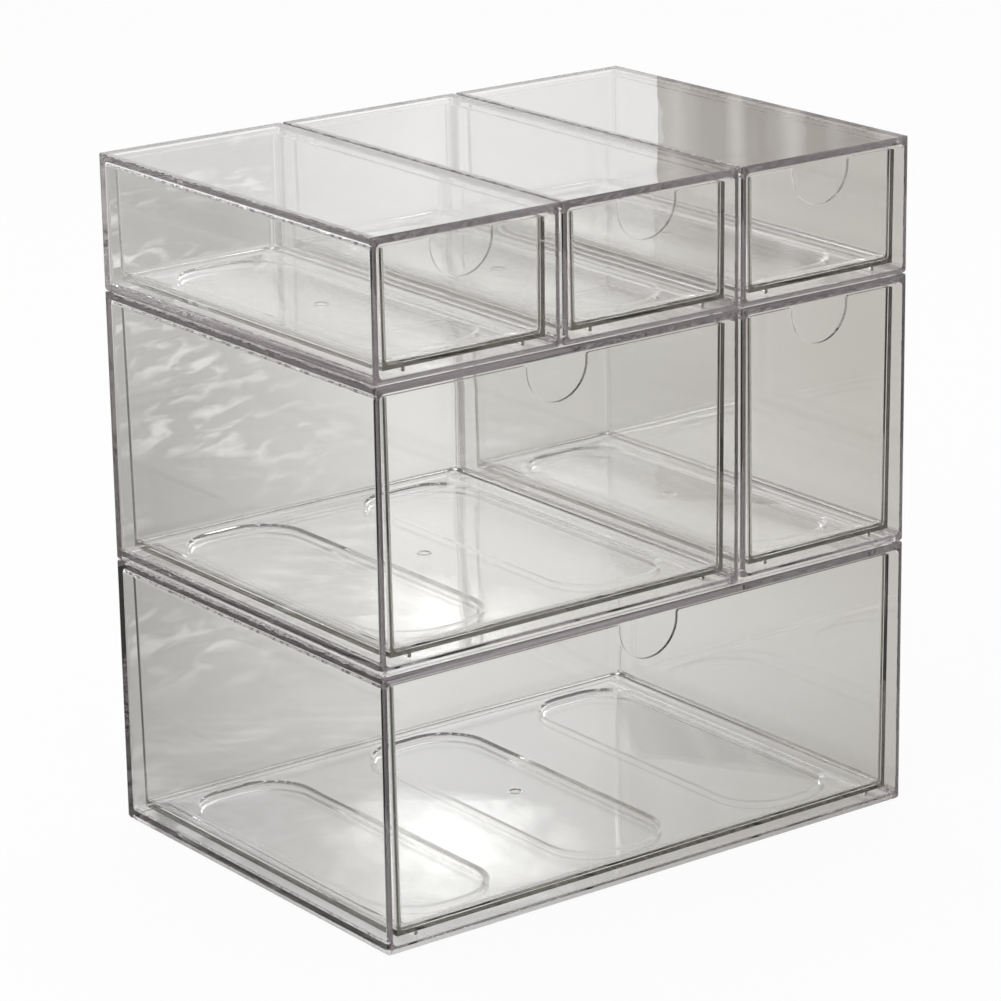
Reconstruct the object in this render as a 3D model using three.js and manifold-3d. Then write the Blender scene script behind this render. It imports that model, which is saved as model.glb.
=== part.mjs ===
// Stacking set of clear drawers for make-up: six moulded casings in three tiers, one drawer in each.
// The front faces -Y, +X is to the right seen from the front and +Z is up. Lengths are in millimetres.
// The origin is the middle of the footprint, on the surface that the set stands on.

import * as THREE from "three";
import { mergeVertices } from "three/addons/utils/BufferGeometryUtils.js";
import Module from "manifold-3d";

const wasm = await Module();
wasm.setup();

// Overall sizes: a wide unit spans two or three narrow widths and the gaps between them.
const narrowWidth = 86;
const neighbourGap = 1;
const casingDepth = 185;
const tallHeight = 111.7;
const lowHeight = 55.7;
const tierGap = 0.3;

// Casing: an open-fronted sleeve with a top plate, two sides, a back and a raised floor on a rim.
const casingWall = 2.6;
const topThickness = 3;
const backThickness = 2.6;
const floorThickness = 1.8;
const tallRecess = 1.7;
const lowRecess = 0.4;
const recessRounding = 0.2;
const casingCornerRadius = 1.9;
const casingLowerRounding = 1.6;
const casingUpperRounding = 0.8;
const mouthRadius = 2.2;
const mouthChamfer = 0.4;
const cavityEndRounding = 1.5;

// Drawer: an open-topped box that leans in towards its floor, on two skids. The front panel is set
// back inside a frame, which the edges of the side walls and the floor make.
const frontRecess = 2.8;
const sideClearance = 2.6;
const backClearance = 1.6;
const headroom = 2;
const slideGap = 0.3;
const panelSetback = 1.6;
const frontPanel = 1.8;
const frameRadius = 1.5;
const drawerWall = 2;
const drawerFloor = 1.9;
const drawerInnerRadius = 2.4;
const drawerFrontRadius = 0.5;
const drawerLowerRounding = 0.5;
const drawerFloorFillet = 2.2;
const drawerRimRounding = 0.5;
const leanShare = 0.009;

// Finger notch in the middle of each drawer front.
const notchWidth = 28.4;
const notchDepth = 16.7;
const notchLip = 1.2;

// Two skids under each drawer floor, near its sides.
const skidInset = 15.5;
const skidWidth = 1.8;
const skidHeight = 2;
const skidRounding = 0.6;
const skidFrontMargin = 0.5;
const skidBackMargin = 8;

// Shallow panels with large round corners, one for each narrow width, in every drawer and casing floor.
const panelWidth = 50;
const panelEndMargin = 16.5;
const panelRadius = 20;
const panelDepth = 0.5;

// Ring left by the moulding gate in the middle of each drawer floor.
const gateRadius = 3;
const gateWall = 0.8;
const gateHeight = 0.4;

// Steps in a quarter turn, and how far a cutting or joined shape runs past the face that it meets.
const cornerSteps = 4;
const edgeSteps = 2;
const panelSteps = 6;
const notchSteps = 20;
const gateSteps = 20;
const overrun = 0.6;

const quarterTurn = Math.PI / 2;

const clearPlastic = new THREE.MeshStandardMaterial({
  color: 0xdcdad6,
  roughness: 0.06,
  metalness: 0,
  transparent: true,
  opacity: 0.35,
});

// Outside width of a unit that spans a number of narrow widths.
function unitWidth(thirds) {
  return thirds * narrowWidth + (thirds - 1) * neighbourGap;
}

// Middle of each narrow width inside a unit, measured from the unit's own middle.
function thirdCentres(thirds) {
  const pitch = narrowWidth + neighbourGap;
  return Array.from({ length: thirds }, (_, index) => (index - (thirds - 1) / 2) * pitch);
}

// Corners of a rounded rectangle, anticlockwise from the low x, low y side, at one height.
// A radius is given for the low y corners and one for the high y corners.
function roundedRing(lowX, highX, lowY, highY, lowRadius, highRadius, height, steps) {
  const corners = [
    [highX - lowRadius, lowY + lowRadius, lowRadius, -quarterTurn],
    [highX - highRadius, highY - highRadius, highRadius, 0],
    [lowX + highRadius, highY - highRadius, highRadius, quarterTurn],
    [lowX + lowRadius, lowY + lowRadius, lowRadius, 2 * quarterTurn],
  ];
  const ring = [];
  for (const [centreX, centreY, radius, start] of corners) {
    for (let step = 0; step <= steps; step += 1) {
      const angle = start + (quarterTurn * step) / steps;
      const x = centreX + radius * Math.cos(angle);
      const y = centreY + radius * Math.sin(angle);
      ring.push(new THREE.Vector3(x, y, height));
    }
  }
  return ring;
}

// Height and inset of each step of a rounded edge that starts flat and turns upright.
function lowerRounding(radius, height) {
  return Array.from({ length: edgeSteps + 1 }, (_, step) => {
    const angle = (quarterTurn * step) / edgeSteps;
    return { height: height + radius * (1 - Math.cos(angle)), inset: radius * (1 - Math.sin(angle)) };
  });
}

// The same for an edge that starts upright and turns flat below a top face.
function upperRounding(radius, height) {
  return Array.from({ length: edgeSteps + 1 }, (_, step) => {
    const angle = (quarterTurn * step) / edgeSteps;
    return { height: height - radius * (1 - Math.sin(angle)), inset: radius * (1 - Math.cos(angle)) };
  });
}

// A surface through rings with equal numbers of points, closed at its first and last ring.
function loftGeometry(rings) {
  const count = rings[0].length;
  const last = (rings.length - 1) * count;
  const indices = [];
  for (let start = 0; start < last; start += count) {
    for (let point = 0; point < count; point += 1) {
      const next = (point + 1) % count;
      indices.push(start + point, start + next, start + count + next);
      indices.push(start + point, start + count + next, start + count + point);
    }
  }
  for (let point = 1; point + 1 < count; point += 1) {
    indices.push(0, point + 1, point);
    indices.push(last, last + point, last + point + 1);
  }
  const geometry = new THREE.BufferGeometry().setFromPoints(rings.flat());
  geometry.setIndex(indices);
  return geometry;
}

// Turns a three.js geometry into a solid that can be joined and cut.
function solidFrom(geometry) {
  geometry.deleteAttribute("normal");
  geometry.deleteAttribute("uv");
  const merged = mergeVertices(geometry);
  const mesh = new wasm.Mesh({
    numProp: 3,
    vertProperties: Float32Array.from(merged.attributes.position.array),
    triVerts: Uint32Array.from(merged.index.array),
  });
  return new wasm.Manifold(mesh);
}

// Turns a finished solid into a named mesh.
function meshFrom(name, solid) {
  const { vertProperties, triVerts } = solid.getMesh();
  const geometry = new THREE.BufferGeometry();
  geometry.setAttribute("position", new THREE.BufferAttribute(vertProperties, 3));
  geometry.setIndex(new THREE.BufferAttribute(triVerts, 1));
  geometry.computeVertexNormals();
  const mesh = new THREE.Mesh(geometry, clearPlastic);
  mesh.name = name;
  return mesh;
}

// Height of a casing's floor above what the casing stands on.
function floorTop(unit) {
  return unit.recess + floorThickness;
}

// The panels of a floor, as cutters that widen towards the face they are sunk in.
// The face looks down where direction is -1 and up where it is 1.
function floorPanels(unit, front, back, faceHeight, direction) {
  return thirdCentres(unit.thirds).map((centre) => {
    const ringAt = (distance, spread) => roundedRing(
      centre - panelWidth / 2 - spread,
      centre + panelWidth / 2 + spread,
      front - spread,
      back + spread,
      panelRadius + spread,
      panelRadius + spread,
      faceHeight + direction * distance,
      panelSteps,
    );
    const rings = [ringAt(-panelDepth, 0), ringAt(0, panelDepth), ringAt(overrun, panelDepth)];
    if (direction < 0) {
      rings.reverse();
    }
    return solidFrom(loftGeometry(rings));
  });
}

// Outer skin of a casing: upright walls between a rounded lower edge and a crisp upper one.
function casingShell(unit) {
  const halfWidth = unitWidth(unit.thirds) / 2;
  const halfDepth = casingDepth / 2;
  const levels = [
    ...lowerRounding(casingLowerRounding, 0),
    ...upperRounding(casingUpperRounding, unit.height),
  ];
  const rings = levels.map(({ height, inset }) => {
    const radius = casingCornerRadius - inset;
    const x = halfWidth - inset;
    const y = halfDepth - inset;
    return roundedRing(-x, x, -y, y, radius, radius, height, cornerSteps);
  });
  return solidFrom(loftGeometry(rings));
}

// The room for the drawer, run from the back wall out through the front.
function casingCavity(unit) {
  const halfWidth = unitWidth(unit.thirds) / 2 - casingWall;
  const halfDepth = casingDepth / 2;
  const levels = [
    ...lowerRounding(cavityEndRounding, backThickness - halfDepth),
    { height: halfDepth - mouthChamfer, inset: 0 },
    { height: halfDepth, inset: -mouthChamfer },
    { height: halfDepth + overrun, inset: -mouthChamfer },
  ];
  const rings = levels.map(({ height, inset }) => {
    const x = halfWidth - inset;
    const low = floorTop(unit) + inset;
    const high = unit.height - topThickness - inset;
    const radius = mouthRadius - inset;
    return roundedRing(-x, x, low, high, radius, radius, height, cornerSteps);
  });
  return solidFrom(loftGeometry(rings).rotateX(quarterTurn));
}

// The hollow under a casing's floor, which leaves a rim that the casing stands on.
function casingUnderside(unit) {
  const halfWidth = unitWidth(unit.thirds) / 2 - casingWall;
  const halfDepth = casingDepth / 2 - casingWall;
  const levels = [{ height: -overrun, inset: 0 }, ...upperRounding(recessRounding, unit.recess)];
  const rings = levels.map(({ height, inset }) => {
    const x = halfWidth - inset;
    const y = halfDepth - inset;
    const radius = mouthRadius - inset;
    return roundedRing(-x, x, -y, y, radius, radius, height, cornerSteps);
  });
  return solidFrom(loftGeometry(rings));
}

// One casing, in the unit's own frame: middle of the footprint, standing height zero.
function buildCasing(unit) {
  const panelFront = panelEndMargin - casingDepth / 2;
  let casing = casingShell(unit);
  casing = casing.subtract(casingCavity(unit));
  casing = casing.subtract(casingUnderside(unit));
  for (const panel of floorPanels(unit, panelFront, -panelFront, unit.recess, -1)) {
    casing = casing.subtract(panel);
  }
  return casing;
}

// Sizes of a drawer, from the casing it slides in. Its frame has the front face at y 0
// and the underside of the skids at z 0.
function drawerSizes(unit) {
  return {
    halfWidth: unitWidth(unit.thirds) / 2 - casingWall - sideClearance,
    length: casingDepth - frontRecess - backClearance - backThickness,
    height: unit.height - topThickness - headroom - floorTop(unit) - slideGap,
    floor: skidHeight + drawerFloor,
  };
}

// A ring of the drawer's skin, drawn in all round by an inset, and at the sides and back by its lean.
function drawerRing(size, level, wall, front, frontRadius, backRadius) {
  const lean = leanShare * (size.height - level.height);
  const side = size.halfWidth - lean - level.inset - wall;
  const low = front + level.inset;
  const high = size.length - lean - level.inset - wall;
  const lowRadius = frontRadius - level.inset;
  return roundedRing(-side, side, low, high, lowRadius, backRadius - level.inset, level.height, cornerSteps);
}

// Outer skin of a drawer, from the underside of its floor to its rim.
function drawerShell(size) {
  const levels = [
    ...lowerRounding(drawerLowerRounding, skidHeight),
    ...upperRounding(drawerRimRounding, size.height),
  ];
  const backRadius = drawerInnerRadius + drawerWall;
  const rings = levels.map((level) => drawerRing(size, level, 0, 0, drawerFrontRadius, backRadius));
  return solidFrom(loftGeometry(rings));
}

// Inside of a drawer, with a fillet round its floor and a chamfer at its rim.
function drawerInside(size) {
  const levels = [
    ...lowerRounding(drawerFloorFillet, size.floor),
    { height: size.height - drawerRimRounding, inset: 0 },
    { height: size.height, inset: -drawerRimRounding },
    { height: size.height + overrun, inset: -drawerRimRounding },
  ];
  const rings = levels.map((level) => (
    drawerRing(size, level, drawerWall, panelSetback + frontPanel, drawerInnerRadius, drawerInnerRadius)
  ));
  return solidFrom(loftGeometry(rings));
}

// Cutter that sets the front panel back inside its frame. It leans with the side walls.
function setbackCutter(size) {
  const side = size.halfWidth - drawerWall;
  const top = size.height + overrun;
  const rings = [-panelSetback, overrun].map((distance) => {
    const ring = roundedRing(-side, side, size.floor, top, frameRadius, overrun, distance, cornerSteps);
    for (const point of ring) {
      point.x *= 1 - (leanShare * (size.height - point.y)) / side;
    }
    return ring;
  });
  return solidFrom(loftGeometry(rings).rotateX(quarterTurn));
}

// U-shaped cutter for the finger notch, with its upper corners eased outwards.
function notchCutter(size) {
  const half = notchWidth / 2;
  const shape = new THREE.Shape();
  shape.moveTo(half + notchLip, overrun);
  shape.lineTo(half + notchLip, 0);
  shape.absarc(half + notchLip, -notchLip, notchLip, quarterTurn, 2 * quarterTurn, false);
  shape.absarc(0, half - notchDepth, half, 0, -2 * quarterTurn, true);
  shape.absarc(-half - notchLip, -notchLip, notchLip, 0, quarterTurn, false);
  shape.lineTo(-half - notchLip, overrun);
  const depth = panelSetback + frontPanel + 2 * overrun;
  const options = { depth, bevelEnabled: false, curveSegments: notchSteps };
  const geometry = new THREE.ExtrudeGeometry(shape, options);
  geometry.rotateX(quarterTurn);
  geometry.translate(0, panelSetback + frontPanel + overrun, size.height);
  return solidFrom(geometry);
}

// One skid: a low bar with a rounded underside that runs from front to back.
function skidSolid(size, centre) {
  const half = skidWidth / 2;
  const arc = half - skidRounding;
  const shape = new THREE.Shape();
  shape.moveTo(centre + half, skidHeight + overrun);
  shape.lineTo(centre - half, skidHeight + overrun);
  shape.absarc(centre - arc, skidRounding, skidRounding, -2 * quarterTurn, -quarterTurn, false);
  shape.absarc(centre + arc, skidRounding, skidRounding, -quarterTurn, 0, false);
  const depth = size.length - skidFrontMargin - skidBackMargin;
  const options = { depth, bevelEnabled: false, curveSegments: edgeSteps };
  const geometry = new THREE.ExtrudeGeometry(shape, options);
  geometry.rotateX(quarterTurn);
  geometry.translate(0, size.length - skidBackMargin, 0);
  return solidFrom(geometry);
}

// Low ring on the floor. It stands on the panel where a panel lies in the middle.
function gateRing(unit, size) {
  const base = unit.thirds % 2 === 1 ? size.floor - panelDepth : size.floor;
  const shape = new THREE.Shape();
  shape.absarc(0, 0, gateRadius, 0, 4 * quarterTurn, false);
  const hole = new THREE.Path();
  hole.absarc(0, 0, gateRadius - gateWall, 0, 4 * quarterTurn, true);
  shape.holes.push(hole);
  const depth = gateHeight + overrun;
  const options = { depth, bevelEnabled: false, curveSegments: gateSteps };
  const geometry = new THREE.ExtrudeGeometry(shape, options);
  geometry.translate(0, casingDepth / 2 - frontRecess, base - overrun);
  return solidFrom(geometry);
}

// One drawer, in its own frame.
function buildDrawer(unit) {
  const size = drawerSizes(unit);
  const panelFront = panelEndMargin - frontRecess;
  const panelBack = casingDepth - panelEndMargin - frontRecess;
  const skidPlace = unitWidth(unit.thirds) / 2 - skidInset;
  let drawer = drawerShell(size);
  drawer = drawer.subtract(drawerInside(size));
  drawer = drawer.subtract(setbackCutter(size));
  drawer = drawer.subtract(notchCutter(size));
  for (const panel of floorPanels(unit, panelFront, panelBack, size.floor, 1)) {
    drawer = drawer.subtract(panel);
  }
  for (const centre of [-skidPlace, skidPlace]) {
    drawer = drawer.add(skidSolid(size, centre));
  }
  return drawer.add(gateRing(unit, size));
}

// A casing with its drawer pushed in, placed by the first narrow width it spans and its standing height.
function buildUnit(unit) {
  const group = new THREE.Group();
  const centres = thirdCentres(3);
  const firstCentre = centres[unit.firstThird];
  const lastCentre = centres[unit.firstThird + unit.thirds - 1];
  group.position.set((firstCentre + lastCentre) / 2, 0, unit.standing);
  const drawer = meshFrom(`${unit.name}_drawer`, buildDrawer(unit));
  drawer.position.set(0, frontRecess - casingDepth / 2, floorTop(unit) + slideGap);
  group.add(meshFrom(`${unit.name}_casing`, buildCasing(unit)), drawer);
  return group;
}

// The six units. Each tier stands on the one below it.
const middleTier = tallHeight + tierGap;
const topTier = middleTier + tallHeight + tierGap;
const tall = { height: tallHeight, recess: tallRecess };
const low = { height: lowHeight, recess: lowRecess };
const units = [
  { name: "bottom", thirds: 3, firstThird: 0, standing: 0, ...tall },
  { name: "middle_wide", thirds: 2, firstThird: 0, standing: middleTier, ...tall },
  { name: "middle_narrow", thirds: 1, firstThird: 2, standing: middleTier, ...tall },
  { name: "top_left", thirds: 1, firstThird: 0, standing: topTier, ...low },
  { name: "top_centre", thirds: 1, firstThird: 1, standing: topTier, ...low },
  { name: "top_right", thirds: 1, firstThird: 2, standing: topTier, ...low },
];

const organizer = new THREE.Group();
for (const unit of units) {
  organizer.add(buildUnit(unit));
}

export default organizer;
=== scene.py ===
# %% [markdown]
# # A set of clear stacking drawers
#
# Six clear moulded units stand in three tiers. Each is two mouldings: a casing, which is a
# sleeve with an open front, and a thin-walled drawer that runs in it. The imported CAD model
# fixes every place and size. This lesson rebuilds the mouldings as smooth surfaces, because
# clear plastic shows each flat facet as a line, and then gives them their plastic and light.

import math

import bmesh
import bpy
import numpy as np
from mathutils import Matrix, Vector


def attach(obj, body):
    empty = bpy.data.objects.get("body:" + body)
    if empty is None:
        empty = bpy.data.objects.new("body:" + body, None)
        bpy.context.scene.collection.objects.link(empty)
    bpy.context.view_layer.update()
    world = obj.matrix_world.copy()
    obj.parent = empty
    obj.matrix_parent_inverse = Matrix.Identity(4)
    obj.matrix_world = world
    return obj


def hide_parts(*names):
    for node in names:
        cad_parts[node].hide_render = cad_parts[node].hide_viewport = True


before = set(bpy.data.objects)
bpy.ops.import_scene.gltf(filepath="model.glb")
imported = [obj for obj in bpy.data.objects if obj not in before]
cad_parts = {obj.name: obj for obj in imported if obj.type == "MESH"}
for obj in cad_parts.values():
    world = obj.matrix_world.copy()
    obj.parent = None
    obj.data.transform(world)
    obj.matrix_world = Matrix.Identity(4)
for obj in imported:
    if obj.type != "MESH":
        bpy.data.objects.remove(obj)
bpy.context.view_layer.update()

# %% [markdown]
# ## Camera
#
# The picture was taken with a long lens, from the front left and a little above, so the
# upright edges stay nearly parallel. A camera could be aimed at an empty, but this one is also
# turned by a degree about its own line of sight, so its three axes are worked out instead.

# %% Place the camera
scene = bpy.context.scene
camera_data = bpy.data.cameras.new("view_camera")
camera_data.sensor_width = 36.0
camera_data.lens = 150.46
camera_data.clip_start = 0.05
camera_data.clip_end = 40.0
camera = bpy.data.objects.new("view_camera", camera_data)
scene.collection.objects.link(camera)
scene.camera = camera

eye = np.array([-0.96782, -1.28842, 0.63675])
ahead = np.array([0.57146, 0.76445, -0.29840])
ahead = ahead / np.linalg.norm(ahead)
roll = math.radians(-0.913)
level_right = np.cross(ahead, [0.0, 0.0, 1.0])
level_right = level_right / np.linalg.norm(level_right)
right = math.cos(roll) * level_right + math.sin(roll) * np.cross(level_right, ahead)
placing = np.eye(4)
placing[:3, :] = np.column_stack([right, np.cross(right, ahead), -ahead, eye])
camera.matrix_world = Matrix(placing.tolist())
print("the camera stands", round(float(np.linalg.norm(eye)), 2), "m from the set")

# %% [markdown]
# ## Bounces
#
# A line of sight crosses up to three tiers of walls, with two faces each, before it reaches
# the background. Inside a wall's edge it is mirrored many times more, and each time counts as a
# glossy bounce. With the usual limits such a path would end in black, so they are raised.
# The alternative, plastic with no real bend of light, would lose the bright and dark edges.

# %% Colour and bounces
scene.view_settings.view_transform = "Standard"
BOUNCES, CARD_CROSSINGS = 64, 48
scene.cycles.max_bounces = BOUNCES
scene.cycles.transmission_bounces = BOUNCES
scene.cycles.glossy_bounces = BOUNCES
scene.cycles.transparent_max_bounces = CARD_CROSSINGS
scene.cycles.caustics_reflective = False
print("a path of light may turn", BOUNCES, "times")

# %% [markdown]
# ## Surfaces from arrays
#
# Both mouldings are made of rings: rectangles with rounded corners, one after another, with a
# skin between them. A box with a Bevel modifier would be quicker, but here each edge has its
# own radius and the walls lean, and a formula for the rings gives all of that in one go.

# %% Rings of points
QUARTER = math.pi / 2
CASING_STEPS, DRAWER_STEPS, PANEL_STEPS, SKID_STEPS = 6, 8, 14, 4
FLAT, MERGE = 1e-6, 1e-3


def corner_angles(steps):
    """Angle of each point of a ring: four quarter turns, the first from minus ninety degrees."""
    turn = np.linspace(0.0, QUARTER, steps + 1)
    return (np.arange(4)[:, None] * QUARTER - QUARTER + turn).ravel()


def rounded_rings(low_a, high_a, low_b, high_b, near, far, steps):
    """Rings round rectangles with rounded corners, one ring for each entry of the sizes.
    A point is the centre of its corner plus the radius times (cosine, sine) of its angle.
    near is the radius of the two corners at low b, and far of the two at high b."""
    sizes = np.broadcast_arrays(*np.atleast_1d(low_a, high_a, low_b, high_b, near, far))
    low_a, high_a, low_b, high_b, near, far = (size[:, None].astype(float) for size in sizes)
    angle = corner_angles(steps)[None]
    corner = np.repeat(np.arange(4), steps + 1)[None]
    at_low_b = (corner == 0) | (corner == 3)
    radius = np.maximum(np.where(at_low_b, near, far), 0.0)
    a = np.where(corner < 2, high_a - radius, low_a + radius) + radius * np.cos(angle)
    b = np.where(at_low_b, low_b + radius, high_b - radius) + radius * np.sin(angle)
    return a, b


def quarter_round(radius, steps):
    """A rounded edge: how far it is drawn in, radius times one minus the sine of the turn,
    and how far it has come along, radius times one minus the cosine."""
    turn = np.linspace(0.0, QUARTER, steps + 1)
    return radius * (1.0 - np.sin(turn)), radius * (1.0 - np.cos(turn))


print("points in a ring of a casing and of a drawer:",
      len(corner_angles(CASING_STEPS)), len(corner_angles(DRAWER_STEPS)))

# %% [markdown]
# ## From rings to a closed moulding
#
# A skin joins each ring to the next. What stays open is flat, such as a floor with a sunk
# panel in it, so the open edges at one level are filled together and the holes stay holes.
# Weighted normals then keep the flats truly flat and let only the rounded edges shade softly.

# %% Skins, flat fills and the finished piece
MM, CM = 0.001, 0.01


def skin(x, y, z, closed=True):
    """One skin: its points as rows of (x, y, z) and its quads. Ring r and point c join ring
    r + 1 and point c + 1, and on a closed skin the last point of a ring joins its first."""
    x, y, z = np.broadcast_arrays(x, y, z)
    rows, columns = x.shape
    spans = columns if closed else columns - 1
    row, column = np.meshgrid(np.arange(rows - 1), np.arange(spans), indexing="ij")
    after = (column + 1) % columns
    quads = [row * columns + column, row * columns + after]
    quads += [(row + 1) * columns + after, (row + 1) * columns + column]
    return np.stack([x, y, z], -1).reshape(-1, 3), np.stack(quads, -1).reshape(-1, 4)


def opened(surface, axis, level):
    """A skin without those quads that lie flat at one level of x, y or z."""
    points, quads = surface
    flat = np.all(np.abs(points[quads][:, :, axis] - level) < FLAT, axis=1)
    return points, quads[~flat]


def fill_flat(mesh, axis, level):
    """Fills the flat area that open edges bound at one level of x, y or z."""
    edges = [
        edge for edge in mesh.edges
        if edge.is_boundary and all(abs(v.co[axis] - level) < MERGE for v in edge.verts)
    ]
    normal = Vector([float(k == axis) for k in range(3)])
    bmesh.ops.triangle_fill(mesh, use_beauty=True, edges=edges, normal=normal)


def moulding(name, skins, flats, place):
    """Joins skins that are in mm into one closed piece in metres, moved to its place in mm."""
    starts = np.cumsum([0] + [len(points) for points, _ in skins])[:-1]
    points = np.vstack([points for points, _ in skins])
    quads = np.vstack([quad + start for (_, quad), start in zip(skins, starts)])
    data = bpy.data.meshes.new(name)
    data.from_pydata(points.tolist(), [], quads.tolist())
    mesh = bmesh.new()
    mesh.from_mesh(data)
    bmesh.ops.remove_doubles(mesh, verts=mesh.verts, dist=MERGE)
    for axis, level in flats:
        fill_flat(mesh, axis, level)
    bmesh.ops.recalc_face_normals(mesh, faces=mesh.faces)
    for face in mesh.faces:
        face.smooth = True
    bmesh.ops.translate(mesh, verts=mesh.verts, vec=Vector(place))
    bmesh.ops.scale(mesh, verts=mesh.verts, vec=(MM, MM, MM))
    open_edges = sum(not edge.is_manifold for edge in mesh.edges)
    volume = mesh.calc_volume(signed=True) / CM**3
    mesh.to_mesh(data)
    mesh.free()
    piece = bpy.data.objects.new(name, data)
    scene.collection.objects.link(piece)
    even = piece.modifiers.new("even_shading", "WEIGHTED_NORMAL")
    even.keep_sharp = False
    print(f"{name}: {len(data.polygons)} faces, {open_edges} open edges, {volume:.1f} ml")
    return piece


# %% [markdown]
# ## Sunk floor panels
#
# Each floor has one shallow panel for every third of the set's width. On the real mouldings
# its edge is a soft roll about 3 mm wide, which shows as a broad, curved double line. A sharp
# step would show as a thin scratch, so the roll is a smooth S-shaped profile.

# %% Panels
NARROW, NEIGHBOUR_GAP = 86.0, 1.0
PANEL_WIDTH, PANEL_END, PANEL_RADIUS, PANEL_DEPTH = 50.0, 16.5, 20.0, 0.5
ROLL_IN, ROLL_OUT, ROLL_STEPS = -1.25, 1.75, 8


def third_centres(thirds):
    """Middles of the narrow widths that a unit spans, from the unit's own middle."""
    return (np.arange(thirds) - (thirds - 1) / 2) * (NARROW + NEIGHBOUR_GAP)


def panel_skins(thirds, front, back, level, depth):
    """The rolls round the panels of one floor. Along the roll, s runs from 0 to 1, the outline
    grows by its share s, and the height follows (3 - 2 s) s s, which is flat at both ends."""
    share = np.linspace(0.0, 1.0, ROLL_STEPS + 1)
    grow = ROLL_IN + (ROLL_OUT - ROLL_IN) * share
    height = level + depth * (1.0 - (3.0 - 2.0 * share) * share**2)
    side, radius = PANEL_WIDTH / 2 + grow, PANEL_RADIUS + grow
    skins = []
    for centre in third_centres(thirds):
        x, y = rounded_rings(
            centre - side, centre + side, front - grow, back + grow, radius, radius, PANEL_STEPS
        )
        skins.append(skin(x, y, height[:, None]))
    return skins


# %% [markdown]
# ## Casings
#
# A casing is a sleeve: a top plate, two sides, a back and a floor that is raised on a rim. Its
# lower edges are well rounded and its top edges are crisp. The outer skin runs from front to
# back, and the room for the drawer runs back in from the mouth, so both are rings in x and z.

# %% Casing surfaces
DEPTH = 185.0
SIDE_ROUND, LOWER_ROUND, UPPER_ROUND = 1.4, 1.6, 0.8
WALL, TOP, BACK, FLOOR = 2.3, 3.0, 2.6, 1.8
MOUTH_RADIUS, MOUTH_EASE, END_ROUND = 2.2, 0.4, 1.5
RECESS_ROUND, FOOT_EASE = 0.2, 0.1
MOUTH_STEPS, END_STEPS, RECESS_STEPS = 3, 5, 4


def casing_outside(half_width, height):
    """Outer skin, from the front to the back. At each end every side is rounded with its own
    radius: it is drawn in by radius (1 - sine) while it comes along by radius (1 - cosine).
    Round a corner, the way along blends by the squares of the outward direction."""
    turn = np.linspace(0.0, QUARTER, CASING_STEPS + 1)
    turn = np.concatenate([turn, turn[::-1]])
    drawn, along, full = 1.0 - np.sin(turn), 1.0 - np.cos(turn), np.sin(turn)
    x, z = rounded_rings(
        SIDE_ROUND * drawn - half_width, half_width - SIDE_ROUND * drawn,
        LOWER_ROUND * drawn, height - UPPER_ROUND * drawn,
        LOWER_ROUND * full, UPPER_ROUND * full, CASING_STEPS,
    )
    angle = corner_angles(CASING_STEPS)
    end_round = np.where(np.sin(angle) < 0.0, LOWER_ROUND, UPPER_ROUND)
    radius = SIDE_ROUND * np.cos(angle) ** 2 + end_round * np.sin(angle) ** 2
    y = DEPTH / 2 - along[:, None] * radius
    y[: len(turn) // 2] *= -1.0
    return opened(skin(x, y, z), 2, 0.0)


def casing_room(half_width, floor, height):
    """The room for the drawer, from its eased mouth to the rounded end at the back wall."""
    mouth_in, mouth_along = quarter_round(MOUTH_EASE, MOUTH_STEPS)
    end_in, end_along = quarter_round(END_ROUND, END_STEPS)
    inset = np.concatenate([-mouth_in, end_in[::-1]])
    y = np.concatenate([mouth_along - DEPTH / 2, DEPTH / 2 - BACK - end_along[::-1]])
    side, radius = half_width - WALL - inset, MOUTH_RADIUS - inset
    x, z = rounded_rings(
        -side, side, floor + inset, height - TOP - inset, radius, radius, CASING_STEPS
    )
    return skin(x, y[:, None], z)


def casing_underside(half_width, recess):
    """The hollow under the floor, from its eased foot to the rounded edge of its ceiling."""
    foot_in, foot_along = quarter_round(FOOT_EASE, MOUTH_STEPS)
    end_in, end_along = quarter_round(RECESS_ROUND, RECESS_STEPS)
    inset = np.concatenate([-foot_in, end_in[::-1]])
    z = np.concatenate([foot_along, recess - end_along[::-1]])
    side, end, radius = half_width - WALL - inset, DEPTH / 2 - WALL - inset, MOUTH_RADIUS - inset
    x, y = rounded_rings(-side, side, -end, end, radius, radius, CASING_STEPS)
    return skin(x, y, z[:, None])


def make_casing(name, thirds, height, recess, place):
    """One casing: outer skin, room for the drawer, hollow under the floor and its panels."""
    half_width = (thirds * (NARROW + NEIGHBOUR_GAP) - NEIGHBOUR_GAP) / 2
    skins = [
        casing_outside(half_width, height),
        casing_room(half_width, recess + FLOOR, height),
        casing_underside(half_width, recess),
        *panel_skins(thirds, PANEL_END - DEPTH / 2, DEPTH / 2 - PANEL_END, recess, PANEL_DEPTH),
    ]
    flats = [(1, -DEPTH / 2), (1, DEPTH / 2), (1, DEPTH / 2 - BACK)]
    flats += [(2, 0.0), (2, recess), (2, recess + PANEL_DEPTH)]
    return moulding(name, skins, flats, place)


# %% [markdown]
# ## Drawers
#
# A drawer is an open box with 2 mm walls that lean in a little towards the floor, so that it
# leaves its mould. The front panel sits back inside a frame that the edges of the side walls
# and the floor make, and the dark line round each front in the picture is that frame. All
# sizes are in mm and stand here together, because the rim, the walls and the frame share them.

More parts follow.
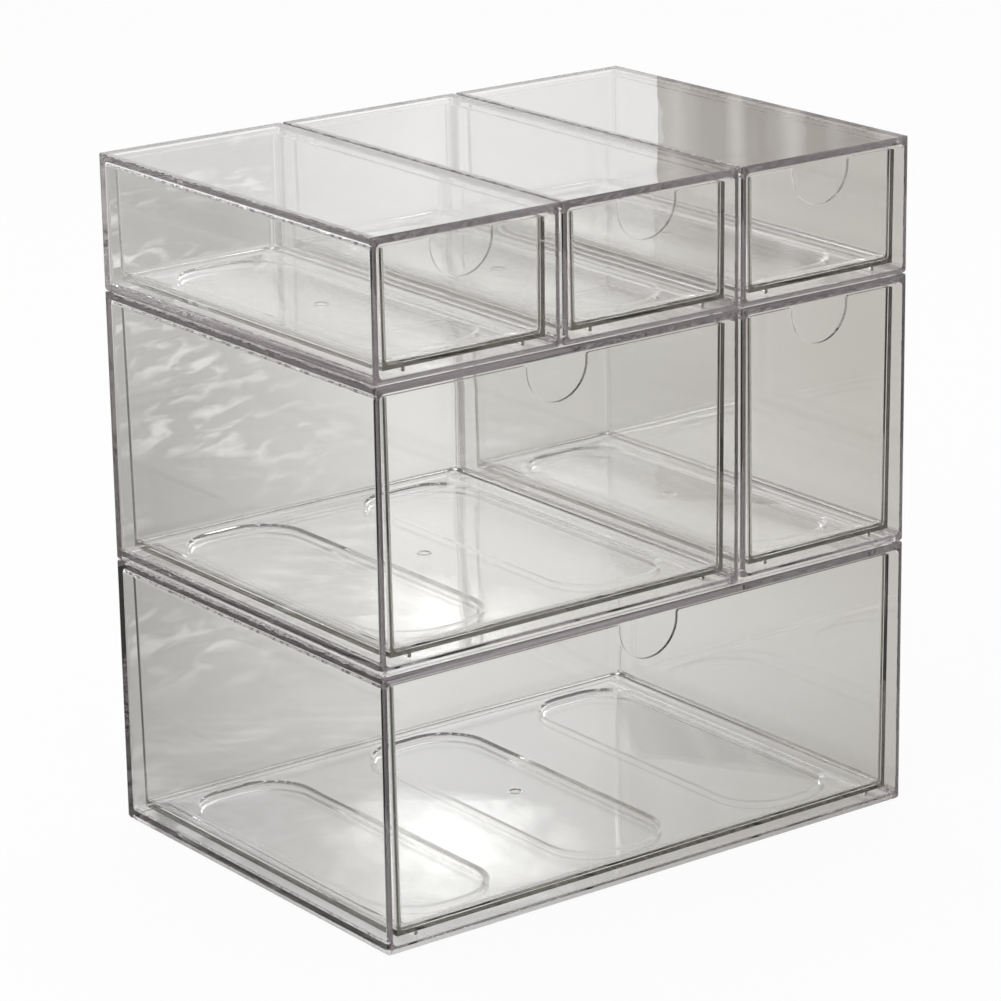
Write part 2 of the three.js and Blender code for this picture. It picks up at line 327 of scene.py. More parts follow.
# %% Drawer sizes
FRONT_RECESS, SIDE_GAP, BACK_GAP, HEADROOM, SLIDE_GAP = 2.8, 2.9, 1.6, 2.0, 0.3
THIN_WALL, THIN_FLOOR, SETBACK, FRONT_PANEL = 2.0, 1.9, 0.6, 1.4
INSIDE = SETBACK + FRONT_PANEL
FRONT_ROUND, INNER_ROUND, LOW_EDGE, FILLET, RIM = 0.2, 0.8, 0.2, 2.2, 0.3
FRAME_RADIUS, FRAME_EDGE, FRAME_FILLET = 1.5, 0.2, 0.2
LEAN = 0.009
NOTCH_RADIUS, NOTCH_DEPTH, NOTCH_LIP = 14.2, 16.7, 1.2
SKID_INSET, SKID_WIDTH, SKID, SKID_ROUND, SKID_BACK = 15.5, 1.8, 2.0, 0.6, 8.0
SKID_FRONT, SKID_END_SHARE = 0.5, 0.85
GATE_OUT, GATE_IN, GATE_HEIGHT, GATE_SINK = 3.2, 2.0, 0.4, 0.05
LENGTH = DEPTH - FRONT_RECESS - BACK_GAP - BACK
EDGE_STEPS, FRAME_STEPS, LIP_STEPS, NOTCH_STEPS, RIM_STEPS, FILLET_STEPS = 4, 6, 4, 32, 3, 7
GATE_STEPS, GATE_POINTS = 8, 48
RUN_SHARES = 0.1, 0.9
print("a drawer is", round(LENGTH, 1), "mm long")


def drawer_rings(half_width, height, z, inset, wall, front, near, far):
    """Rings of a drawer's skin. Each is drawn in by its inset, and at the sides and back by
    the lean too, which is a share of its distance below the rim."""
    lean = LEAN * (height - z)
    side, back = half_width - lean - inset - wall, LENGTH - lean - inset - wall
    return rounded_rings(-side, side, front + inset, back, near - inset, far - inset, DRAWER_STEPS)


# %% [markdown]
# ## The frame round the front panel
#
# Seen from above, the edge of the frame is an S: round the front edge of the side wall, back
# along the inside of the frame, and out through a small fillet to the panel. That profile is
# carried down one side, along the floor and up the other side. Extruding a flat outline and
# bevelling it would do, but the frame leans with the walls, which a sweep gives directly.

# %% Frame
def frame_profile():
    """Points across the frame's edge: how far each lies out of the wall, its y and its normal.
    Both arcs follow (sine, minus cosine) of a turn, the first away from its middle and the
    second, the fillet, towards its middle."""
    turn = np.linspace(0.0, QUARTER, EDGE_STEPS + 1)
    edge = FRAME_EDGE * np.stack([np.sin(turn) - 1.0, 1.0 - np.cos(turn)])
    back = turn[::-1]
    fillet = FRAME_FILLET * np.stack([1.0 - np.sin(back), np.cos(back) - 1.0])
    fillet[1] += SETBACK
    out, y = np.hstack([edge, fillet])
    angle = np.concatenate([turn, back])
    return out, y, np.sin(angle), -np.cos(angle)


def frame_skin(half_width, height, floor):
    """The frame's edge, swept down the left side, along the floor and up the right side. The
    lower corners are arcs, and x is drawn in by the lean at its height."""
    turn = np.linspace(0.0, QUARTER, FRAME_STEPS + 1)
    inner = half_width - THIN_WALL
    top = height - RIM
    side = np.concatenate([[-inner], FRAME_RADIUS * (1.0 - np.cos(turn)) - inner])
    level = np.concatenate([[top], floor + FRAME_RADIUS * (1.0 - np.sin(turn))])
    into_x = np.concatenate([[1.0], np.cos(turn)])
    into_z = np.concatenate([[0.0], np.sin(turn)])
    path_x, path_z = np.concatenate([side, -side[::-1]]), np.concatenate([level, level[::-1]])
    into_x = np.concatenate([into_x, -into_x[::-1]])
    into_z = np.concatenate([into_z, into_z[::-1]])
    out, y, _, _ = frame_profile()
    x = path_x[:, None] + into_x[:, None] * out
    z = path_z[:, None] + into_z[:, None] * out
    x -= np.sign(path_x)[:, None] * LEAN * (height - z)
    return skin(x, y[None], z, closed=False)


# %% [markdown]
# ## Rim and finger notch
#
# The rim and the finger notch are one edge on the real piece: a rounded profile is carried
# along the rim and down round the notch. Cutting the notch with a Boolean would leave its edges
# sharp, and the light lines round it come from their rounding.

# %% Rim and notch
def notch_path(height):
    """Outline of the notch and the direction into the plastic: an eased corner, a U and an
    eased corner. On the arcs both follow (cosine, sine) from the middle of the arc."""
    lip = np.linspace(0.0, QUARTER, LIP_STEPS + 1)
    bend = np.linspace(0.0, 2 * QUARTER, NOTCH_STEPS + 1)
    left, under, end = QUARTER - lip, 2 * QUARTER + bend, 2 * QUARTER - lip
    corner = NOTCH_RADIUS + NOTCH_LIP
    low = height - NOTCH_DEPTH + NOTCH_RADIUS
    none = 0.0 * lip
    angle = np.concatenate([left, under, end])
    radius = np.concatenate([none + NOTCH_LIP, 0.0 * bend + NOTCH_RADIUS, none + NOTCH_LIP])
    middle_x = np.concatenate([none - corner, 0.0 * bend, none + corner])
    lip_z = none + height - NOTCH_LIP
    middle_z = np.concatenate([lip_z, 0.0 * bend + low, lip_z])
    inward = np.concatenate([none - 1.0, 0.0 * bend + 1.0, none - 1.0])
    x, z = middle_x + radius * np.cos(angle), middle_z + radius * np.sin(angle)
    return x, z, inward * np.cos(angle), inward * np.sin(angle)


def rim_front(half_width, height, drawn, z_out, x_in, z_in):
    """The rim's strip across the front: over one end of the frame, along the panel and round
    the notch, and over the other end. The outer rows follow the frame's profile against its
    normal by their inset, and the inner rows run straight."""
    out, frame_y, normal_x, normal_y = frame_profile()
    inner = half_width - THIN_WALL - LEAN * (height - z_out)[:, None]
    side = out - inner - drawn[:, None] * normal_x
    depth = frame_y - drawn[:, None] * normal_y
    path_x, path_z, into_x, into_z = notch_path(height)
    below_out, below_in = (height - z_out)[:, None], (height - z_in)[:, None]
    share = np.linspace(*RUN_SHARES, len(out))
    start = x_in[:, -1:] + share * (path_x[0] - x_in[:, -1:])
    x = np.vstack([
        np.hstack([side, path_x + below_out * into_x, -side[:, ::-1]]),
        np.hstack([start, path_x + below_in * into_x, -start[:, ::-1]]),
    ])
    flat_out, flat_in = below_out + 0.0 * side, below_in + 0.0 * start
    z = np.vstack([
        np.hstack([height - flat_out, path_z + below_out * into_z, height - flat_out]),
        np.hstack([height - flat_in, path_z + below_in * into_z, height - flat_in]),
    ])
    panel = SETBACK + drawn[:, None] + 0.0 * path_x
    inside = INSIDE - drawn[::-1, None] + 0.0 * np.concatenate([share, path_x, share])
    y = np.vstack([np.hstack([depth, panel, depth[:, ::-1]]), inside])
    return x, y, z


def drawer_rim(half_width, height):
    """The rim: two quarter rounds with a flat between them, carried round the drawer in one
    strip and across its front in a second one. The flat itself is filled later."""
    drawn, along = quarter_round(RIM, RIM_STEPS)
    z_out, z_in = height - along[::-1], height - along
    x_out, y_out = drawer_rings(
        half_width, height, z_out, drawn[::-1], 0.0, 0.0, FRONT_ROUND, INNER_ROUND + THIN_WALL
    )
    x_in, y_in = drawer_rings(
        half_width, height, z_in, -drawn, THIN_WALL, INSIDE, INNER_ROUND, INNER_ROUND
    )
    x, y = np.vstack([x_out, x_in]), np.vstack([y_out, y_in])
    z = np.concatenate([z_out, z_in])[:, None] + 0.0 * x
    front_x, front_y, front_z = rim_front(half_width, height, drawn[::-1], z_out, x_in, z_in)
    front_x = np.hstack([x[:, -1:], front_x, x[:, :1]])
    front_y = np.hstack([y[:, -1:], front_y, y[:, :1]])
    front_z = np.hstack([z[:, -1:], front_z, z[:, :1]])
    strips = (x, y, z), (front_x, front_y, front_z)
    return [opened(skin(*strip, closed=False), 2, height) for strip in strips]


# %% [markdown]
# ## Walls, skids and gate ring
#
# The walls are two skins, one inside the other. Two low skids under the floor carry the drawer,
# and a small ring in the middle of the floor is where the plastic entered the mould.

# %% Walls, skids and gate ring
def drawer_walls(half_width, height, floor):
    """Outer and inner skin below the rim, without the flats of the front."""
    drawn, along = quarter_round(LOW_EDGE, EDGE_STEPS)
    z = np.concatenate([SKID + along, [height - RIM]])
    x, y = drawer_rings(
        half_width, height, z, np.concatenate([drawn, [0.0]]), 0.0, 0.0,
        FRONT_ROUND, INNER_ROUND + THIN_WALL,
    )
    outer = opened(skin(x, y, z[:, None]), 1, 0.0)
    drawn, along = quarter_round(FILLET, FILLET_STEPS)
    z = np.concatenate([floor + along, [height - RIM]])
    x, y = drawer_rings(
        half_width, height, z, np.concatenate([drawn, [0.0]]), THIN_WALL, INSIDE,
        INNER_ROUND, INNER_ROUND,
    )
    return [outer, opened(skin(x, y, z[:, None]), 1, INSIDE)]


def skid_skin(centre):
    """One skid: a low bar with rounded ends and a rounded underside."""
    drawn, along = quarter_round(SKID_ROUND, SKID_STEPS)
    inset, z = np.concatenate([drawn, [0.0]]), np.concatenate([along, [SKID]])
    side = SKID_WIDTH / 2 - inset
    radius = SKID_END_SHARE * side
    x, y = rounded_rings(
        centre - side, centre + side, SKID_FRONT + inset, LENGTH - SKID_BACK - inset,
        radius, radius, SKID_STEPS,
    )
    return skin(x, y, z[:, None])


def gate_skin(base):
    """The gate ring: across its width s runs from 0 to 1, and it rises by half its height
    times one minus the cosine of a full turn times s."""
    share = np.linspace(0.0, 1.0, GATE_STEPS + 1)[:, None]
    angle = np.linspace(0.0, 4 * QUARTER, GATE_POINTS, endpoint=False)
    radius = GATE_OUT + (GATE_IN - GATE_OUT) * share
    rise = GATE_HEIGHT * (1.0 - np.cos(4 * QUARTER * share)) / 2 - GATE_SINK * share
    x, y = radius * np.cos(angle), DEPTH / 2 - FRONT_RECESS + radius * np.sin(angle)
    return skin(x, y, base + rise + 0.0 * x)


def make_drawer(name, thirds, height, place):
    """One drawer, from its walls, rim, skids, floor panels and gate ring."""
    half_width = (thirds * (NARROW + NEIGHBOUR_GAP) - NEIGHBOUR_GAP) / 2
    floor = SKID + THIN_FLOOR
    panel = floor - PANEL_DEPTH
    base = panel if thirds % 2 else floor
    run = half_width - WALL - SIDE_GAP
    skins = [
        *drawer_walls(run, height, floor),
        frame_skin(run, height, floor),
        *drawer_rim(run, height),
        skid_skin(SKID_INSET - half_width), skid_skin(half_width - SKID_INSET),
        *panel_skins(thirds, PANEL_END - FRONT_RECESS, DEPTH - PANEL_END - FRONT_RECESS,
                     floor, -PANEL_DEPTH),
        gate_skin(base),
    ]
    flats = [(1, 0.0), (1, SETBACK), (1, INSIDE), (2, 0.0), (2, SKID)]
    flats += [(2, base - GATE_SINK), (2, floor), (2, panel), (2, height)]
    return moulding(name, skins, flats, place)


# %% [markdown]
# ## The six units
#
# The three tiers stand on each other over a hair's breadth of air. Each piece takes the place
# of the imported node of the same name, rides on that node's body and keeps its plastic.

# %% Build all pieces
TALL, LOW, TIER_GAP = (111.7, 1.7), (55.7, 0.4), 0.3
MIDDLE_TIER = TALL[0] + TIER_GAP
TOP_TIER = MIDDLE_TIER + TALL[0] + TIER_GAP
UNITS = {
    "bottom": (3, 0, 0.0, TALL),
    "middle_wide": (2, 0, MIDDLE_TIER, TALL),
    "middle_narrow": (1, 2, MIDDLE_TIER, TALL),
    "top_left": (1, 0, TOP_TIER, LOW),
    "top_centre": (1, 1, TOP_TIER, LOW),
    "top_right": (1, 2, TOP_TIER, LOW),
}
casings, drawers = [], []
for unit, (thirds, first, standing, (height, recess)) in UNITS.items():
    middle = third_centres(3)[[first, first + thirds - 1]].mean()
    casing = make_casing(f"{unit}_clear_casing", thirds, height, recess, (middle, 0.0, standing))
    lift = recess + FLOOR + SLIDE_GAP
    drawer = make_drawer(
        f"{unit}_clear_drawer", thirds, height - TOP - HEADROOM - lift,
        (middle, FRONT_RECESS - DEPTH / 2, standing + lift),
    )
    for piece, kind, pieces in ((casing, "casing", casings), (drawer, "drawer", drawers)):
        node = f"{unit}_{kind}"
        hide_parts(node)
        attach(piece, node)
        pieces.append(piece)

# %% [markdown]
# ## Small tools for materials
#
# A material is a tree of nodes, and most trees here need the same few: noise, a value spread
# between two limits, a product and a mix of two colours. Each has a function, so that a
# material reads as a few lines. Node groups would do the same, but they hide their numbers.

# %% Node helpers
def add(tree, kind, **inputs):
    """A new shader node with values for its inputs, whose names have _ in place of spaces."""
    made = tree.nodes.new("ShaderNode" + kind)
    for name, value in inputs.items():
        made.inputs[name.replace("_", " ")].default_value = value
    return made


def join(tree, output, target):
    """Links an output to an input of the same tree."""
    tree.links.new(output, target)


def noise(tree, place, scale, detail):
    """Soft noise from 0 to 1 at a place."""
    made = add(tree, "TexNoise", Scale=scale, Detail=detail)
    join(tree, place, made.inputs["Vector"])
    return made.outputs["Fac"]


def spread(tree, value, low, high):
    """0 where the value is at low, 1 where it is at high, and even in between."""
    made = add(tree, "MapRange", From_Min=low, From_Max=high)
    join(tree, value, made.inputs["Value"])
    return made.outputs["Result"]


def times(tree, first, second):
    """The product of two values, each a number or an output."""
    made = tree.nodes.new("ShaderNodeMath")
    made.operation = "MULTIPLY"
    for socket, value in zip(made.inputs, (first, second)):
        if isinstance(value, float):
            socket.default_value = value
        else:
            join(tree, value, socket)
    return made.outputs[0]


def mixed(tree, factor, below, above):
    """A colour between two others, each of them a colour or an output."""
    mix = tree.nodes.new("ShaderNodeMix")
    mix.data_type = "RGBA"
    join(tree, factor, mix.inputs["Factor"])
    for socket, colour in (("A", below), ("B", above)):
        if isinstance(colour, tuple):
            mix.inputs[socket].default_value = colour
        else:
            join(tree, colour, mix.inputs[socket])
    return mix.outputs["Result"]


def emptied(owner):
    """The node tree of a material or a world, with nothing in it."""
    owner.use_nodes = True
    owner.node_tree.nodes.clear()
    return owner.node_tree


# %% [markdown]
# ## Clear plastic
#
# The set is moulded in clear plastic with a faint grey tint, and it lies in the body of the
# plastic, so a pane seen square on is pale and the same pane seen along its length is dark.
# A coloured surface would look the same both ways. Slow waves stand for the flow of the melt
# in the mould, and a faint change of tone for handling. Light that is trapped in a thin edge
# darkens it, and an edge colour on a few faces stands in for that.

# %% Plastic
WHITE = (1.0, 1.0, 1.0, 1.0)
WARM_CLEAR, COOL_CLEAR = (0.998, 0.995, 0.988, 1.0), (0.988, 0.990, 0.992, 1.0)
ACRYLIC_IOR = 1.49
FLOW_HEIGHT, BEAD_HEIGHT = 0.00003, 0.003
TONE_SCALE, FLOW_SCALE, BEAD_SCALE = 9.0, 26.0, 150.0


def face_mark(tree, name):
    """The value that an attribute has on the faces of a piece."""
    mark = tree.nodes.new("ShaderNodeAttribute")
    mark.attribute_name = name
    return mark.outputs["Fac"]


def bumped(tree, height, distance, normal=None):
    """The normal of a surface with small waves of a given height, on top of other waves."""
    bump = add(tree, "Bump", Strength=1.0, Distance=distance)
    join(tree, height, bump.inputs["Height"])
    if normal is not None:
        join(tree, normal, bump.inputs["Normal"])
    return bump.outputs["Normal"]


def clear_plastic(name, tint, density, edge):
    """Plastic that bends light as acrylic does, with its tint in the body of the material.
    edge is the colour of the shade that is painted on the marked edge faces.
    """
    material = bpy.data.materials.new(name)
    tree = emptied(material)
    out = add(tree, "OutputMaterial")
    shader = add(tree, "BsdfPrincipled", IOR=ACRYLIC_IOR, Roughness=0.0, Transmission_Weight=1.0)
    absorb = add(tree, "VolumeAbsorption", Color=tint, Density=density)
    join(tree, shader.outputs["BSDF"], out.inputs["Surface"])
    join(tree, absorb.outputs["Volume"], out.inputs["Volume"])
    place = add(tree, "TexCoord").outputs["Object"]
    tone = mixed(tree, noise(tree, place, TONE_SCALE, 2.0), WARM_CLEAR, COOL_CLEAR)
    # The marked edge faces get the edge colour, a painted shade for light trapped in thin edges.
    join(tree, mixed(tree, face_mark(tree, "painted_edge_shade"), tone, edge), shader.inputs["Base Color"])
    flow = bumped(tree, noise(tree, place, FLOW_SCALE, 1.0), FLOW_HEIGHT)
    beads = times(tree, noise(tree, place, BEAD_SCALE, 2.0), face_mark(tree, "wavy_edge"))
    join(tree, bumped(tree, beads, BEAD_HEIGHT, flow), shader.inputs["Normal"])
    return material


# The edge colours are painted shade: darker base colours for the marked edge faces.
CASING_TINT, CASING_EDGE_SHADE = (0.49, 0.45, 0.47, 1.0), (0.50, 0.45, 0.45, 1.0)
DRAWER_TINT, DRAWER_EDGE_SHADE = (0.50, 0.48, 0.44, 1.0), (0.30, 0.29, 0.26, 1.0)
casing_plastic = clear_plastic("casing_plastic", CASING_TINT, 12.0, CASING_EDGE_SHADE)
drawer_plastic = clear_plastic("drawer_plastic", DRAWER_TINT, 14.0, DRAWER_EDGE_SHADE)
print("nodes in the casing's plastic:", len(casing_plastic.node_tree.nodes))

# %% [markdown]
# ## Marks on the edges
#
# The plastics need to know which faces are edges, which of them get a painted shade and
# which get beads. The faces are chosen by where they are and where they look, and the choice
# is kept in two attributes on the mesh. Separate materials for the edges would need a second
# slot on every piece and could not fade from one to another.

# %% Edge marks
EDGE_BAND, EDGE_SLACK = 0.0030, 0.00005
NOTCH_BAND, NOTCH_HALF, RIM_BAND = 0.022, 0.0155, 0.0008
FACING, SLANTING, SIDEWAYS, LENGTHWISE = 0.9, 0.985, 0.5, 0.3
NOTCH_SHADE, ROUNDED_SHADE = 0.8, 0.7


def face_places(piece):
    """Centres and normals of a piece's faces, one row for each face."""
    faces = piece.data.polygons
    centres = np.empty(3 * len(faces), np.float32)
    normals = np.empty(3 * len(faces), np.float32)
    faces.foreach_get("center", centres)
    faces.foreach_get("normal", normals)
    return centres.reshape(-1, 3).astype(float), normals.reshape(-1, 3).astype(float)


def corner_box(piece):
    """Lowest and highest corner of a piece."""
    corners = np.empty(3 * len(piece.data.vertices), np.float32)
    piece.data.vertices.foreach_get("co", corners)
    corners = corners.reshape(-1, 3).astype(float)
    return corners.min(axis=0), corners.max(axis=0)


def mark_faces(piece, is_drawer):
    """Sets two attributes on the faces. The first is the strength of the painted edge shade, a
    darker edge colour that stands in for light trapped in the edge: full on the foremost plane
    of a drawer and on the ends of a casing's side walls, and less round the finger notch and on
    the casing's rounded edges. wavy_edge is one on those edges that run from front to back
    along a casing's sides."""
    centre, normal = face_places(piece)
    low, high = corner_box(piece)
    ahead = (normal[:, 1] < -FACING) & (centre[:, 1] < low[1] + EDGE_SLACK)
    # narrow holds each face's share of the painted edge shade.
    narrow, wavy = np.zeros(len(centre)), np.zeros(len(centre))
    if is_drawer:
        notch = np.abs(centre[:, 0] - (low[0] + high[0]) / 2.0) < NOTCH_HALF
        notch &= (np.abs(normal[:, 1]) < SIDEWAYS) & (centre[:, 1] < low[1] + EDGE_BAND)
        notch &= (centre[:, 2] > high[2] - NOTCH_BAND) & (centre[:, 2] < high[2] - RIM_BAND)
        narrow[notch] = NOTCH_SHADE
        narrow[ahead] = 1.0
    else:
        outer = (centre[:, 0] < low[0] + EDGE_BAND) | (centre[:, 0] > high[0] - EDGE_BAND)
        slanting = np.abs(normal).max(axis=1) < SLANTING
        along = slanting & (np.abs(normal[:, 1]) < LENGTHWISE)
        narrow[along] = ROUNDED_SHADE
        narrow[ahead & outer] = 1.0
        wavy[along & outer] = 1.0
    for name, values in (("painted_edge_shade", narrow), ("wavy_edge", wavy)):
        data = piece.data.attributes.new(name, "FLOAT", "FACE")
        data.data.foreach_set("value", values)
    return int((narrow > 0).sum()), int(wavy.sum())


for piece in casings + drawers:
    print(piece.name, "tinted and wavy faces:", mark_faces(piece, piece in drawers))

# %% [markdown]
# ## Which piece gets which plastic
#
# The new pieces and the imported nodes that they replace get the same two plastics, so that
# either model shows them.

# %% Hand out the plastics
for pieces, plastic, kind in ((casings, casing_plastic, "casing"), (drawers, drawer_plastic, "drawer")):
    for piece in pieces:
        piece.data.materials.append(plastic)
    for name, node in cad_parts.items():
        if name.endswith(kind):
            node.data.materials.clear()
            node.data.materials.append(plastic)
    print(plastic.name, "is on", len(pieces), "new pieces")

# %% [markdown]
# ## White surroundings
#
# The set stands in front of plain white. The world is white to the camera and to rays that
# were mirrored by the plastic or came through it, and a softer grey to all the others, so that
# the white background is not a lamp. A white backdrop would do too, but it would need as much
# light as the set itself.

# %% World
def ray_share(tree, camera_share, seen_share):
    """A factor that is camera_share for camera rays and seen_share for rays that the plastic
    mirrored or let through, and the output that tells camera rays."""
    path = tree.nodes.new("ShaderNodeLightPath")
    either = tree.nodes.new("ShaderNodeMath")
    either.operation = "MAXIMUM"
    both = tree.nodes.new("ShaderNodeMath")
    both.operation = "MULTIPLY_ADD"
    both.inputs[1].default_value = seen_share
    join(tree, path.outputs["Is Glossy Ray"], either.inputs[0])
    join(tree, path.outputs["Is Transmission Ray"], either.inputs[1])
    join(tree, either.outputs[0], both.inputs[0])
    join(tree, times(tree, path.outputs["Is Camera Ray"], camera_share), both.inputs[2])
    return both.outputs[0], path.outputs["Is Camera Ray"]


world = bpy.data.worlds.new("white_studio")
scene.world = world
tree = emptied(world)
fill = add(tree, "Background", Color=(1.0, 0.99, 0.97, 1.0), Strength=0.75)
white = add(tree, "Background", Color=WHITE, Strength=1.0)
choose = add(tree, "MixShader")
join(tree, ray_share(tree, 1.0, 1.0)[0], choose.inputs["Fac"])
join(tree, fill.outputs[0], choose.inputs[1])
join(tree, white.outputs[0], choose.inputs[2])
join(tree, choose.outputs[0], add(tree, "OutputWorld").inputs["Surface"])
print("the world lights the set at", fill.inputs["Strength"].default_value)

# %% [markdown]
# ## Floor
#
# The floor is one flat sheet of pale paint. Its material mixes in a plain glow, so that the
# camera sees white with only a trace of the shadow, and the plastic shows that pale floor too.

# %% Floor
FLOOR_HALF, FLOOR_DROP = 4.0, -0.0005
CAMERA_GLOW, SEEN_GLOW = 0.94, 0.62


def sheet(name, corners):
    """A flat four-cornered surface from its corners in metres."""
    data = bpy.data.meshes.new(name)
    data.from_pydata([list(map(float, corner)) for corner in corners], [], [(0, 1, 2, 3)])
    piece = bpy.data.objects.new(name, data)
    scene.collection.objects.link(piece)
    return piece


floor = sheet("floor", [
    (-FLOOR_HALF, -FLOOR_HALF, FLOOR_DROP), (FLOOR_HALF, -FLOOR_HALF, FLOOR_DROP),
    (FLOOR_HALF, FLOOR_HALF, FLOOR_DROP), (-FLOOR_HALF, FLOOR_HALF, FLOOR_DROP),
])
pale_floor = bpy.data.materials.new("pale_floor")
tree = emptied(pale_floor)
paint = add(tree, "BsdfDiffuse", Color=(0.74, 0.735, 0.72, 1.0))
glow = add(tree, "Emission", Strength=1.0)
share, is_camera = ray_share(tree, CAMERA_GLOW, SEEN_GLOW)
print("the floor is", 2 * FLOOR_HALF, "m wide")

# %% [markdown]
# ## What the panes show of the room
#
# In the picture the panes are warmer and darker towards the right, because a real room stands
# there. The camera never sees that room itself. So only for rays that the plastic mirrored or
# let through, the glow turns darker and browner to the right, in front of the set and behind
# it. Models of furniture would do the same with far more work.

# %% Tones to the right
NEAR_WHITE, SOFT_GREY = (1.0, 1.0, 0.99, 1.0), (0.80, 0.80, 0.79, 1.0)
FRONT_BROWN, BACK_BROWN = (0.42, 0.40, 0.36, 1.0), (0.40, 0.375, 0.335, 1.0)
TO_RIGHT, TO_BACK = (1.0, 0.0, 0.0), (0.0, 1.0, 0.0)
BACK_RIGHT, BACK_LEFT = (0.80, -0.60, 0.0), (-0.8, 0.6, 0.0)
floor_place = add(tree, "TexCoord").outputs["Object"]


def ramp(tree, direction, low, high):
    """0 to 1 as the dot product of the floor's place with a direction goes from low to high."""
    along = tree.nodes.new("ShaderNodeVectorMath")
    along.operation = "DOT_PRODUCT"
    along.inputs[1].default_value = direction
    join(tree, floor_place, along.inputs[0])
    return spread(tree, along.outputs["Value"], low, high)


in_front = mixed(tree, ramp(tree, TO_RIGHT, 0.18, 0.5), NEAR_WHITE, FRONT_BROWN)
beyond = mixed(tree, ramp(tree, BACK_RIGHT, -0.05, 0.20), SOFT_GREY, BACK_BROWN)
ahead_or_behind = mixed(tree, ramp(tree, TO_BACK, -0.22, -0.12), in_front, beyond)
print("tones of the room:", FRONT_BROWN[:3], "and", BACK_BROWN[:3])

# %% [markdown]
# ## Streaks in the left walls
#
# The left walls mirror a floor with flat, bright streaks on it, such as light through a blind
# makes. Noise that is stretched across the line of sight gives streaks of that kind, and a
# second, larger noise breaks them into patches. A wave texture would look like wood.

# %% Streaks and the whole floor
STREAK_TURN, STREAK_SIZE = math.radians(36.8), (0.032, 0.015, 1.0)
NEAR_DIM, FAR_DIM, BRIGHT = (0.16, 0.15, 0.14, 1.0), (0.78, 0.78, 0.77, 1.0), (0.95, 0.95, 0.95, 1.0)
PATCH_SCALE = 6.0
streaks = add(tree, "TexNoise", Scale=1.0, Detail=2.0, Distortion=0.5)
stretched = tree.nodes.new("ShaderNodeMapping")
stretched.vector_type = "TEXTURE"
stretched.inputs["Rotation"].default_value = (0.0, 0.0, STREAK_TURN)
stretched.inputs["Scale"].default_value = STREAK_SIZE
join(tree, floor_place, stretched.inputs["Vector"])
join(tree, stretched.outputs["Vector"], streaks.inputs["Vector"])
crest = spread(tree, streaks.outputs["Fac"], 0.50, 0.66)
patches = spread(tree, noise(tree, floor_place, PATCH_SCALE, 1.0), 0.44, 0.66)
dim = mixed(tree, ramp(tree, BACK_LEFT, 0.55, 0.9), NEAR_DIM, FAR_DIM)
behind_left = mixed(tree, times(tree, patches, crest), dim, BRIGHT)
room = mixed(tree, ramp(tree, BACK_LEFT, 0.06, 0.18), ahead_or_behind, behind_left)
blend = add(tree, "MixShader")
join(tree, mixed(tree, is_camera, room, WHITE), glow.inputs["Color"])
join(tree, share, blend.inputs["Fac"])
join(tree, paint.outputs[0], blend.inputs[1])
join(tree, glow.outputs[0], blend.inputs[2])
join(tree, blend.outputs[0], add(tree, "OutputMaterial").inputs["Surface"])
floor.data.materials.append(pale_floor)
print("nodes in the floor's material:", len(tree.nodes))

# %% [markdown]
# ## Cards
#
# Three cards stand behind the set, and only rays that the plastic mirrored or let through see
# them. A dark one with soft bands gives the top plate on the right its brown patch. A greyish
# one above it tones the floors of the drawers, and a glowing one gives two of those floors a
# soft highlight. A photographed room would give all that, but a card needs no picture.

# %% Card shapes and patterns
GLOW_DISTANCE, GLOW_BEARING, GLOW_HEIGHT = 2.8, 54.9, 1.200
GLOW_MIDDLE = (
    GLOW_DISTANCE * math.cos(math.radians(GLOW_BEARING)),
    GLOW_DISTANCE * math.sin(math.radians(GLOW_BEARING)),
    GLOW_HEIGHT,
)
GLOW_EDGE, GLOW_CORE, GLOW_UNEVEN = 0.27, 0.10, 0.22
GLOW_SCALE, BAND_SCALE = 26.0, 24.0


def card(name, bearings, heights, distance):
    """An upright sheet that faces the set. It spans two bearings, in degrees from +x towards
    +y, and two elevations in degrees, seen from the origin at its distance."""
    ends = [(distance * math.cos(turn), distance * math.sin(turn)) for turn in map(math.radians, bearings)]
    low, high = (distance * math.tan(math.radians(height)) for height in heights)
    corners = [(*ends[0], low), (*ends[1], low), (*ends[1], high), (*ends[0], high)]
    return sheet(name, corners)


def bands(tree, place):
    """Upright soft bands of uneven width: the share of the pale colour, and full cover."""
    flat = add(tree, "Mapping", Scale=(1.0, 1.0, 0.0))
    join(tree, place, flat.inputs["Vector"])
    return spread(tree, noise(tree, flat.outputs["Vector"], BAND_SCALE, 1.0), 0.42, 0.66), None


def soft_glow(tree, place):
    """A glow that thins out with the distance from its middle plus a little noise: the share
    of the pale colour, and the cover."""
    patchy = noise(tree, place, GLOW_SCALE, 2.0)
    middle = tree.nodes.new("ShaderNodeVectorMath")
    middle.operation = "DISTANCE"
    middle.inputs[1].default_value = GLOW_MIDDLE
    uneven = tree.nodes.new("ShaderNodeMath")
    uneven.operation = "MULTIPLY_ADD"
    uneven.inputs[1].default_value = GLOW_UNEVEN
    join(tree, place, middle.inputs[0])
    join(tree, patchy, uneven.inputs[0])
    join(tree, middle.outputs["Value"], uneven.inputs[2])
    return patchy, spread(tree, uneven.outputs[0], GLOW_EDGE, GLOW_CORE)


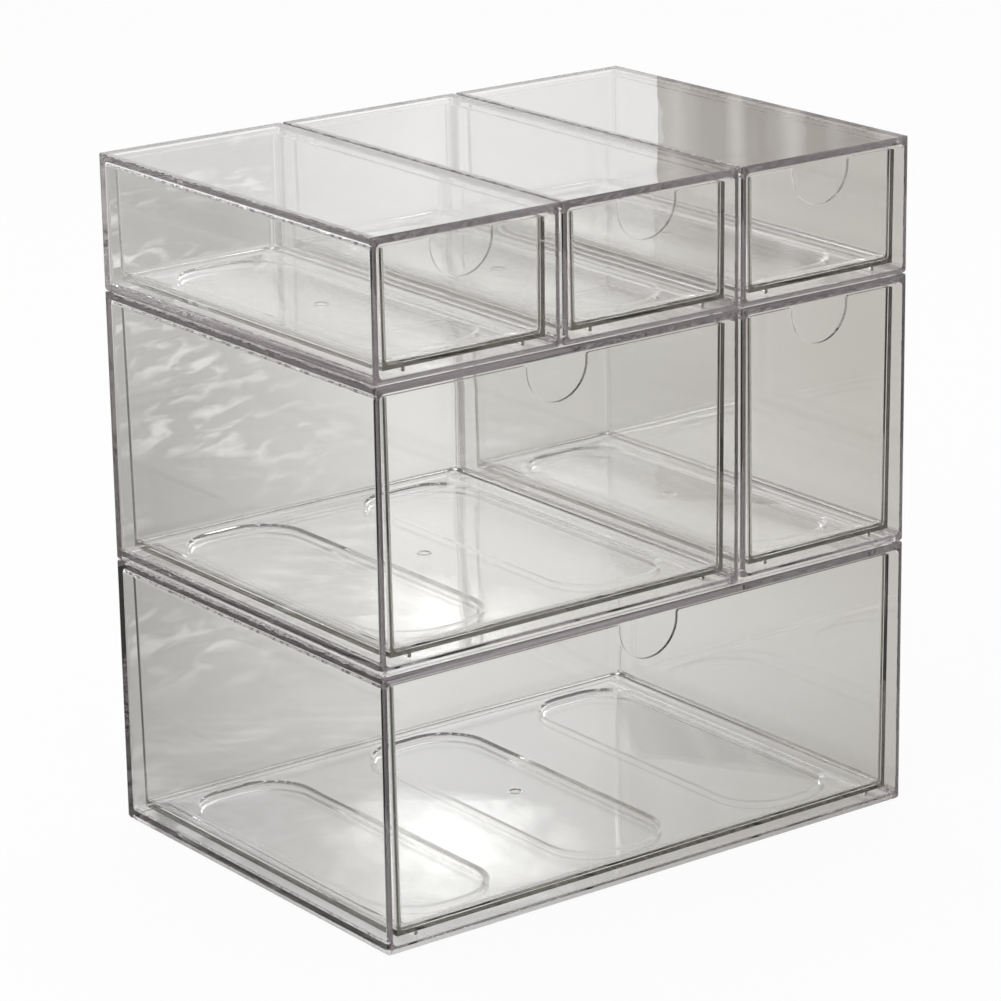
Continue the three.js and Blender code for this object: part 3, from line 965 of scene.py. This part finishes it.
# %% Cards
def card_material(name, dark, pale, strength, pattern):
    """Emission for rays that the plastic mirrored or let through, and nothing for the others."""
    material = bpy.data.materials.new(name)
    tree = emptied(material)
    pale_share, cover = pattern(tree, add(tree, "TexCoord").outputs["Object"])
    seen = ray_share(tree, 0.0, 1.0)[0]
    if cover is not None:
        seen = times(tree, seen, cover)
    shine = add(tree, "Emission", Strength=strength)
    blend = add(tree, "MixShader")
    join(tree, mixed(tree, pale_share, dark, pale), shine.inputs["Color"])
    join(tree, seen, blend.inputs["Fac"])
    join(tree, add(tree, "BsdfTransparent").outputs[0], blend.inputs[1])
    join(tree, shine.outputs[0], blend.inputs[2])
    join(tree, blend.outputs[0], add(tree, "OutputMaterial").inputs["Surface"])
    return material


DARK_BROWN, PALE_BROWN = (0.24, 0.215, 0.19, 1.0), (0.66, 0.64, 0.61, 1.0)
DARK_CREAM, PALE_CREAM = (0.80, 0.78, 0.75, 1.0), (0.95, 0.94, 0.92, 1.0)
WARM_WHITE, COOL_WHITE = (1.0, 0.99, 0.96, 1.0), (0.96, 0.99, 1.0, 1.0)
CARD_DISTANCE = 2.6
banded = card_material("banded_card", DARK_BROWN, PALE_BROWN, 1.0, bands)
greyish = card_material("greyish_card", DARK_CREAM, PALE_CREAM, 1.0, bands)
glowing = card_material("glowing_card", WARM_WHITE, COOL_WHITE, 3.2, soft_glow)
for name, bearings, heights, distance, material in (
    ("dark_card", (49.62, 36.0), (2.0, 19.5), CARD_DISTANCE, banded),
    ("grey_card", (51.1, 36.0), (19.55, 27.0), CARD_DISTANCE, greyish),
    ("bright_card", (58.0, 51.8), (21.6, 24.9), GLOW_DISTANCE, glowing),
):
    card(name, bearings, heights, distance).data.materials.append(material)
    print(name, "stands", distance, "m from the set")

# %% [markdown]
# ## Lamps
#
# Two large, soft area lamps light the set, one from the left and one from above and behind.
# A sun would be simpler, but its hard shadow would not suit a studio picture.

# %% Lamps
LIT_POINT = (0.0, 0.0, 0.15)


def area_lamp(name, place, size, power):
    """A square area lamp that faces the middle of the set."""
    data = bpy.data.lights.new(name, "AREA")
    data.shape = "SQUARE"
    data.size, data.energy = size, power
    lamp = bpy.data.objects.new(name, data)
    lamp.location = place
    scene.collection.objects.link(lamp)
    aim = Vector(LIT_POINT) - Vector(place)
    lamp.rotation_euler = aim.to_track_quat("-Z", "Y").to_euler()
    return lamp


for name, place, size, power in (
    ("softbox_left", (-1.6, -0.3, 1.3), 1.0, 14.0),
    ("softbox_top", (0.2, 0.6, 1.8), 1.2, 10.0),
):
    print(area_lamp(name, place, size, power).name, "has", power, "W")
